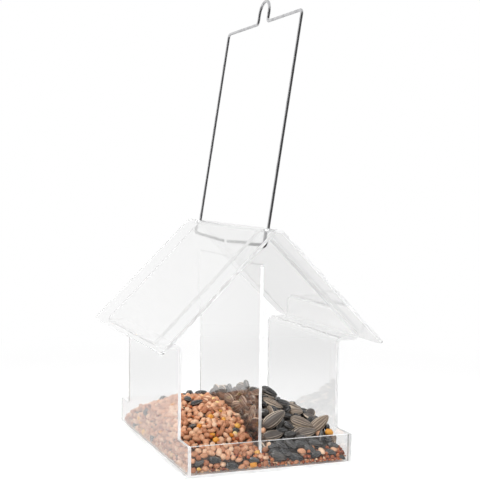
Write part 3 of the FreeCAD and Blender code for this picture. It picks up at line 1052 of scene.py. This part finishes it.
    def settled(self, kind: SeedKind, point: Vector, normal: Vector, turn: Matrix, depth: float,
                size: float = 0.0) -> Seed:
        """Lays a seed at a point of the surface.

        Args:
            kind: Kind of seed.
            point: Point on the surface.
            normal: Outward normal there.
            turn: Turn from the seed's own axes.
            depth: Depth under the surface, in thicknesses of the seed.
            size: Share of the usual size, drawn where it is 0.

        Returns:
            The seed, kept off the sheets.
        """
        form = FORMS[kind]
        size = size or 1.0 + self.random.uniform(-self.SIZE_SPREAD, self.SIZE_SPREAD)
        half = Vector((form.length, form.width, form.thickness)) * (MM * size / 2)
        squares = Matrix.Diagonal([length ** 2 for length in half])
        reach = turn @ squares @ turn.transposed()
        middle = point - normal * (form.thickness * MM * size * (0.5 + depth) - self.PROUD)
        half_box = [math.sqrt(reach[axis][axis]) * (1 + self.SWELL * form.taper) for axis in range(3)]
        low, high = self.room(max(0.0, abs(middle.y) - half_box[1]))
        for axis in range(3):
            room = half_box[axis] + self.WALL_ROOM
            lowest = low[axis] + room
            highest = high[axis] - room if axis < 2 else middle[axis]
            middle[axis] = max(lowest, min(middle[axis], highest))
        matrix = Matrix.Translation(middle) @ turn.to_4x4() @ Matrix.Scale(size, 4)
        return Seed(kind, matrix, reach, self.random.random())

    def near(self, place: Vector) -> Iterator[Seed]:
        """Finds the seeds in the cells round a place.

        Args:
            place: Where to look.

        Yields:
            Seeds that may touch one there.
        """
        cell = [math.floor(value / self.CELL) for value in place]
        for x in range(cell[0] - 1, cell[0] + 2):
            for y in range(cell[1] - 1, cell[1] + 2):
                for z in range(cell[2] - 1, cell[2] + 2):
                    yield from self.cells.get((x, y, z), ())

    def fits(self, seed: Seed) -> bool:
        """True if the seed's ellipsoid, slightly squeezed, meets none that lies there already."""
        for other in self.near(seed.place):
            apart = seed.place - other.place
            both = (seed.reach + other.reach).inverted()
            if apart.dot(both @ apart) < 2 * self.SQUEEZE ** 2:
                return False
        return True

    def sunk(self, seed: Seed) -> bool:
        """True if the seed does not stand far out of the heap's top."""
        place = seed.place
        hit = self.top(place.x, place.y)[0]
        top = self.low.z if hit is None else hit.z
        return place.z + math.sqrt(seed.reach[2][2]) < top + self.STAND_OUT

    def keep(self, seed: Seed) -> None:
        """Adds a seed to the heap."""
        self.seeds.append(seed)
        cell = tuple(math.floor(value / self.CELL) for value in seed.place)
        self.cells.setdefault(cell, []).append(seed)

    def fill(self, sprinkles: tuple[Sprinkle, ...]) -> None:
        """Scatters seeds over the surface, the outer ones first.

        Args:
            sprinkles: What to scatter, in order.
        """
        area = self.areas[-1]
        for shallow, deep in self.DEPTHS:
            for sprinkle in sprinkles:
                form = FORMS[sprinkle.kind]
                footprint = form.length * form.width * MM ** 2
                for _ in range(int(area * sprinkle.share * self.TRIES_PER_AREA / footprint)):
                    point, normal = self.spot()
                    if not sprinkle.holds(point):
                        continue
                    depth = self.random.uniform(shallow, deep)
                    turn = self.tumbled(sprinkle.kind, normal)
                    seed = self.settled(sprinkle.kind, point, normal, turn, depth)
                    if self.fits(seed) and self.sunk(seed):
                        self.keep(seed)

    def bed(self, name: str, inset: float, material: Material) -> bpy.types.Object:
        """Models the crumbs under the seeds: the crown drawn in and roughened.

        Args:
            name: The piece's name.
            inset: How far it lies under the surface, in metres.
            material: Its finish, which in the mix bay is painted shade.

        Returns:
            The piece.
        """
        crumbs_and_shade = self.crown.copy()
        bmesh.ops.subdivide_edges(crumbs_and_shade, edges=crumbs_and_shade.edges, cuts=1, use_grid_fill=True)
        crumbs_and_shade.normal_update()
        for vertex in crumbs_and_shade.verts:
            lump = noise.noise(vertex.co / (self.LUMP_SPAN * MM)) * self.LUMP_HEIGHT * MM
            vertex.co -= vertex.normal * (inset + lump)
            vertex.co.z = max(vertex.co.z, self.low.z)
        for face in crumbs_and_shade.faces:
            face.smooth = True
        return make_piece(name, crumbs_and_shade, material)

    def piece(self, name: str, kind: SeedKind, material: Material) -> bpy.types.Object:
        """Gathers all seeds of one kind.

        Args:
            name: The piece's name.
            kind: Kind of seed.
            material: Its finish.

        Returns:
            The piece.
        """
        form = FORMS[kind].mesh(name + "_form")
        count = len(form.vertices)
        gathered = bmesh.new()
        for seed in self.seeds:
            if seed.kind is not kind:
                continue
            copy = form.copy()
            copy.transform(seed.matrix)
            copy.attributes[TONE].data.foreach_set("value", [seed.tone] * count)
            gathered.from_mesh(copy)
            bpy.data.meshes.remove(copy)
        bpy.data.meshes.remove(form)
        return make_piece(name, gathered, material)


def placed(name: str, shape: Shape, material: Material) -> bpy.types.Object:
    """Turns a finished bmesh into an object of the scene.

    Args:
        name: The object's name.
        shape: Its mesh, which is freed.
        material: Its finish.

    Returns:
        The object.
    """
    mesh = bpy.data.meshes.new(name)
    shape.to_mesh(mesh)
    shape.free()
    mesh.materials.append(material)
    thing = bpy.data.objects.new(name, mesh)
    bpy.context.scene.collection.objects.link(thing)
    return thing


def make_piece(name: str, shape: Shape, material: Material) -> bpy.types.Object:
    """Turns a finished bmesh into a piece that rides on the house.

    Args:
        name: The piece's name.
        shape: Its mesh, which is freed.
        material: Its finish.

    Returns:
        The piece.
    """
    piece = placed(name, shape, material)
    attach(piece, HOUSE)
    log.info("%s: %d faces", name, len(piece.data.polygons))
    return piece


@dataclass(frozen=True)
class SoftBox:
    """A square soft lamp that shines at the middle of the house."""

    name: str
    place: Place
    side: float
    watts: float

    def build(self, aim: Vector, screened: bpy.types.Collection) -> None:
        """Hangs the lamp.

        Args:
            aim: Point that it shines at.
            screened: What a screen keeps it off, so that bright metal shows the room and not the lamp.
        """
        lamp = bpy.data.lights.new(self.name, "AREA")
        lamp.shape = "SQUARE"
        lamp.size = self.side
        lamp.energy = self.watts
        holder = bpy.data.objects.new(self.name, lamp)
        bpy.context.scene.collection.objects.link(holder)
        holder.location = self.place
        holder.rotation_euler = (aim - Vector(self.place)).to_track_quat("-Z", "Y").to_euler()
        holder.light_linking.receiver_collection = screened


@dataclass(frozen=True)
class Studio:
    """White studio: pale floor, even sky, soft lamps, a dark room behind the camera, and the camera."""

    camera_place: Place = (-0.25449, -0.68112, 0.18136)
    yaw: float = 21.006
    pitch: float = 3.28
    roll: float = -0.72
    focal_pixels: float = 1066.83
    image_pixels: float = 480.0
    sensor_mm: float = 36.0
    nearest: float = 0.01
    aim: Place = (0.0, 0.0, 0.05)
    sky: float = 0.30
    sky_top: float = 0.82
    sky_fade: Span = (0.5, 0.8)
    floor_colour: Colour = (0.82, 0.82, 0.82)
    floor_mirrored: Colour = (0.92, 0.92, 0.92)
    floor_lift: float = 0.28
    floor_lift_seen_through: float = 0.15
    behind_glass: Span = (0.965, 0.81)
    behind_glass_fade: Span = (0.15, 0.55)
    floor_gloss: float = 0.93
    floor_clouds_per_metre: float = 3.0
    floor_cloud_edge: Span = (0.3, 0.7)
    floor_roughness: Span = (0.85, 0.95)
    floor_side: float = 8.0
    mirror_fade: Span = (0.4, 0.6)
    floor_drop: float = 0.0004
    floor_fade: Span = (0.2, 0.5)
    bounces: int = 96
    half_bounce: float = 0.5
    room_colour: Colour = (0.09, 0.09, 0.09)
    room_place: Place = (0.1, -1.15, 0.002)
    room_size: Place = (2.6, 1.069, 1.4)
    room_wing: float = 0.8
    lamps: tuple[SoftBox, ...] = (
        SoftBox("key_lamp", (-0.65, -0.70, 0.90), 0.6, 9.0),
        SoftBox("fill_lamp", (0.9, -0.6, 0.6), 0.8, 3.0),
        SoftBox("top_lamp", (0.1, 0.35, 1.2), 0.9, 5.0),
    )

    def build(self, metal: bpy.types.Object) -> None:
        """Builds the whole studio.

        Args:
            metal: The bright metal, which the lamps are screened from.
        """
        self.build_camera()
        self.build_sky()
        self.build_floor()
        self.build_room()
        screened = bpy.data.collections.new("screened_from_lamps")
        screened.objects.link(metal)
        screened.collection_objects[0].light_linking.link_state = "EXCLUDE"
        for lamp in self.lamps:
            lamp.build(Vector(self.aim), screened)
        scene = bpy.context.scene
        scene.view_settings.view_transform = "Standard"
        for limit in ("max_bounces", "glossy_bounces", "transmission_bounces", "transparent_max_bounces"):
            setattr(scene.cycles, limit, self.bounces)

    def build_camera(self) -> None:
        """Sets the camera at the photograph's viewpoint."""
        camera = bpy.data.objects.new("camera", bpy.data.cameras.new("camera"))
        bpy.context.scene.collection.objects.link(camera)
        camera.data.sensor_width = self.sensor_mm
        camera.data.lens = self.focal_pixels / self.image_pixels * self.sensor_mm
        camera.data.clip_start = self.nearest
        camera.location = self.camera_place
        camera.rotation_euler = self.camera_turn().to_euler()
        bpy.context.scene.camera = camera

    def camera_turn(self) -> Matrix:
        """Turn of the camera from looking straight down."""
        turn = Matrix.Rotation(math.radians(-self.yaw), 3, "Z")
        turn @= Matrix.Rotation(math.radians(90 - self.pitch), 3, "X")
        return turn @ Matrix.Rotation(math.radians(-self.roll), 3, "Z")

    def sight(self, across: float, down: float) -> Vector:
        """Finds the way that the camera looks through a pixel.

        Args:
            across: Pixels from the image's left edge.
            down: Pixels from its top edge.

        Returns:
            The direction.
        """
        middle = self.image_pixels / 2
        way = Vector((across - middle, middle - down, -self.focal_pixels))
        return (self.camera_turn() @ way).normalized()

    def seen(self, graph: ShaderGraph) -> Socket:
        """Tells the rays that show the background, in the open or in metal and glass.

        Args:
            graph: Graph to add the nodes to.

        Returns:
            1 for those rays, and 0 for the rays that light the object.
        """
        path = graph.add("ShaderNodeLightPath").outputs
        open_or_mirrored = graph.maths("MAXIMUM", path["Is Camera Ray"], path["Is Glossy Ray"])
        shown = graph.maths("MAXIMUM", open_or_mirrored, path["Is Transmission Ray"])
        first = graph.maths("LESS_THAN", path["Diffuse Depth"], self.half_bounce)
        return graph.times(shown, first)

    def white_level(self, graph: ShaderGraph, mirrored: float, way: Socket) -> Socket:
        """Gives the background's white: full in the open, less behind glass and least to the right.

        Args:
            graph: Graph to add the nodes to.
            mirrored: White in reflections.
            way: Direction from the house to the point of the background.

        Returns:
            The strength.
        """
        path = graph.add("ShaderNodeLightPath").outputs
        away = graph.spread(path["Is Glossy Ray"], 0.0, 1.0, 0.0, 1.0 - mirrored)
        through = path["Is Transmission Ray"]
        front = graph.times(graph.rest(away), graph.rest(through))
        across = graph.parts(way)["X"]
        behind = graph.spread(across, *self.behind_glass_fade, *self.behind_glass)
        return graph.maths("ADD", front, graph.times(through, behind))

    def build_sky(self) -> None:
        """Makes a white world that lights the object softly."""
        world = bpy.data.worlds.new("studio_sky")
        bpy.context.scene.world = world
        world.use_nodes = True
        graph = ShaderGraph(world.node_tree)
        way = graph.add("ShaderNodeTexCoord").outputs["Generated"]
        up = graph.parts(way)["Z"]
        white = graph.spread(up, *self.sky_fade, 1.0, self.sky_top)
        shown = self.seen(graph)
        hidden = graph.times(graph.rest(shown), self.sky)
        full = graph.times(self.white_level(graph, 1.0, way), white)
        strength = graph.maths("ADD", graph.times(shown, full), hidden)
        sky = graph.add("ShaderNodeBackground", {"Color": rgba((1.0, 1.0, 1.0)), "Strength": strength})
        graph.add("ShaderNodeOutputWorld", {"Surface": sky.outputs[0]})

    def build_floor(self) -> None:
        """Lays a pale floor that keeps the object's shadow."""
        shape = bmesh.new()
        bmesh.ops.create_grid(shape, x_segments=1, y_segments=1, size=self.floor_side / 2)
        bmesh.ops.translate(shape, vec=(0, 0, -self.floor_drop), verts=shape.verts)
        material, graph = new_material("pale_floor")
        place = graph.add("ShaderNodeTexCoord").outputs["Object"]
        cloudy = graph.noise(place, self.floor_clouds_per_metre)
        out = graph.add("ShaderNodeVectorMath", {0: place}, operation="LENGTH").outputs["Value"]
        path = graph.add("ShaderNodeLightPath").outputs
        not_through = graph.rest(path["Is Transmission Ray"])
        mirrored = graph.times(path["Is Glossy Ray"], not_through)
        far_mirrored = graph.times(mirrored, graph.spread(out, *self.mirror_fade))
        not_mirrored = graph.rest(mirrored)
        far_seen = graph.times(not_mirrored, graph.spread(out, *self.floor_fade))
        far = graph.maths("ADD", far_mirrored, far_seen)
        rough = graph.spread(cloudy, *self.floor_cloud_edge, *self.floor_roughness)
        colour = graph.mix(mirrored, rgba(self.floor_colour), rgba(self.floor_mirrored))
        paper = graph.add("ShaderNodeBsdfPrincipled", {
            "Base Color": colour, "Roughness": rough, "Specular IOR Level": 0.0})
        shown = self.seen(graph)
        seen_through = graph.times(path["Is Transmission Ray"], self.floor_lift_seen_through)
        seen_direct = graph.times(path["Is Camera Ray"], self.floor_lift)
        lifted = graph.maths("ADD", seen_through, seen_direct)
        lift = graph.add("ShaderNodeEmission", {"Strength": graph.times(shown, lifted)})
        near = graph.add("ShaderNodeAddShader", {0: paper.outputs[0], 1: lift.outputs[0]})
        way = graph.add("ShaderNodeVectorMath", {0: place}, operation="NORMALIZE").outputs[0]
        level = self.white_level(graph, self.floor_gloss, way)
        white = graph.add("ShaderNodeEmission", {"Strength": level})
        share = graph.times(far, shown)
        both = graph.add("ShaderNodeMixShader", {0: share, 1: near.outputs[0], 2: white.outputs[0]})
        graph.add("ShaderNodeOutputMaterial", {"Surface": both.outputs[0]})
        self.stage("floor", shape, material)

    def build_room(self) -> None:
        """Sets three dark walls and a dark mat on the camera's side, which only reflections show."""
        width, depth, height = self.room_size
        x, y, low = self.room_place
        shape = bmesh.new()
        mat = Matrix.Translation((x, y + depth / 2, low)) @ Matrix.Diagonal((width, depth, 1.0, 1.0))
        bmesh.ops.create_grid(shape, x_segments=1, y_segments=1, size=0.5, matrix=mat)
        corners = ((-1, y + self.room_wing), (-1, y), (1, y), (1, y + self.room_wing))
        feet = [shape.verts.new((x + side * width / 2, along, low)) for side, along in corners]
        skirting = [shape.edges.new(pair) for pair in zip(feet, feet[1:])]
        grown = bmesh.ops.extrude_edge_only(shape, edges=skirting)["geom"]
        tops = [item for item in grown if isinstance(item, bmesh.types.BMVert)]
        bmesh.ops.translate(shape, vec=(0, 0, height), verts=tops)
        material, graph = new_material("dark_room")
        dark = graph.add("ShaderNodeBsdfDiffuse", {"Color": rgba(self.room_colour)})
        graph.add("ShaderNodeOutputMaterial", {"Surface": dark.outputs[0]})
        card = self.stage("dark_room", shape, material)
        for rays in ("camera", "diffuse", "transmission", "shadow"):
            setattr(card, f"visible_{rays}", False)

    def stage(self, name: str, shape: Shape, material: Material) -> bpy.types.Object:
        """Adds a thing that is not part of the object.

        Args:
            name: Its name.
            shape: Its mesh, which is freed.
            material: Its finish.

        Returns:
            The thing.
        """
        thing = placed(name, shape, material)
        return thing


class FeedingHouse:
    """The whole object: finished sheets and wire, and the two heaps."""

    SHEETS = (
        # edge_glow sets each sheet's painted glow on its cut edges.
        ("base_plate", ClearAcrylic("clear_base", (1, 1, 0), edge_glow=0.2)),
        ("house_shell", ClearAcrylic("clear_shell", (0, 1, 0), low_edge=25 * MM, gable=79 * MM)),
        ("outer_roof", ClearAcrylic("clear_roof", (0, 1, 0), eaves=1.0, edge_glow=0.15, dust=0.2)),
        ("front_rim", ClearAcrylic("clear_front_rim", (1, 0, 1), dust=0.0)),
        ("back_rim", ClearAcrylic("clear_back_rim", (1, 0, 1), dust=0.0)),
        # The divider's edges above its gable height get a very dark painted shade.
        ("centre_divider", ClearAcrylic("clear_divider", (0, 1, 1), gable=126.2 * MM, edge_glow=0.16,
                                        gable_painted_shade=(0.25, 0.25, 0.25))),
    )
    WIRE = "wire_hanger"

    def __init__(self, nodes: dict[str, bpy.types.Object]) -> None:
        """Takes the frame's nodes."""
        self.nodes = nodes
        self.skin = seed_skin_group()

    def dress(self, name: str, material: Material) -> None:
        """Gives a node its finish.

        Args:
            name: The node's name.
            material: The finish.
        """
        slots = self.nodes[name].data.materials
        slots.clear()
        slots.append(material)
        log.info("%s: %s", name, material.name)

    def dress_frame(self) -> None:
        """Finishes the sheets and the wire."""
        wear, cut = sheet_wear_group(), cut_edge_group()
        for name, acrylic in self.SHEETS:
            self.dress(name, acrylic.material(wear, cut))
        self.dress(self.WIRE, DrawnSteel().material())

    def fill_bay(self, bay: Bay, studio: Studio) -> None:
        """Replaces one heap's solid by its seeds.

        Args:
            bay: What lies in the bay.
            studio: The studio, for its camera.
        """
        heap = SeedHeap(bay)
        for laid in bay.laid:
            heap.lay(laid, studio)
        heap.strew(bay.strewn)
        heap.fill(bay.sprinkles)
        crumbs_and_shade = bay.crumbs_and_shade.material(bay.prefix + "_crumbs", self.skin)
        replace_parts(heap.bed(bay.prefix + "_bed", bay.inset * MM, crumbs_and_shade), bay.node)
        for kind in SeedKind:
            if any(seed.kind is kind for seed in heap.seeds):
                name = f"{bay.prefix}_{kind.value}"
                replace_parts(heap.piece(name, kind, FINISHES[kind].material(name, self.skin)), bay.node)
        log.info("%s: %d seeds", bay.node, len(heap.seeds))


def write_sizes() -> None:
    """Updates the view layer.
    """
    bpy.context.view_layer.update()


def main() -> None:
    """Builds the studio and the house round the frame."""
    logging.basicConfig(level=logging.INFO, format="%(name)s: %(message)s")
    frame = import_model()
    studio = Studio()
    studio.build(frame["nodes"][FeedingHouse.WIRE])
    house = FeedingHouse(frame["nodes"])
    house.dress_frame()
    for bay in (MIX_BAY, SUNFLOWER_BAY):
        house.fill_bay(bay, studio)
    write_sizes()


if __name__ == "__main__":
    main()
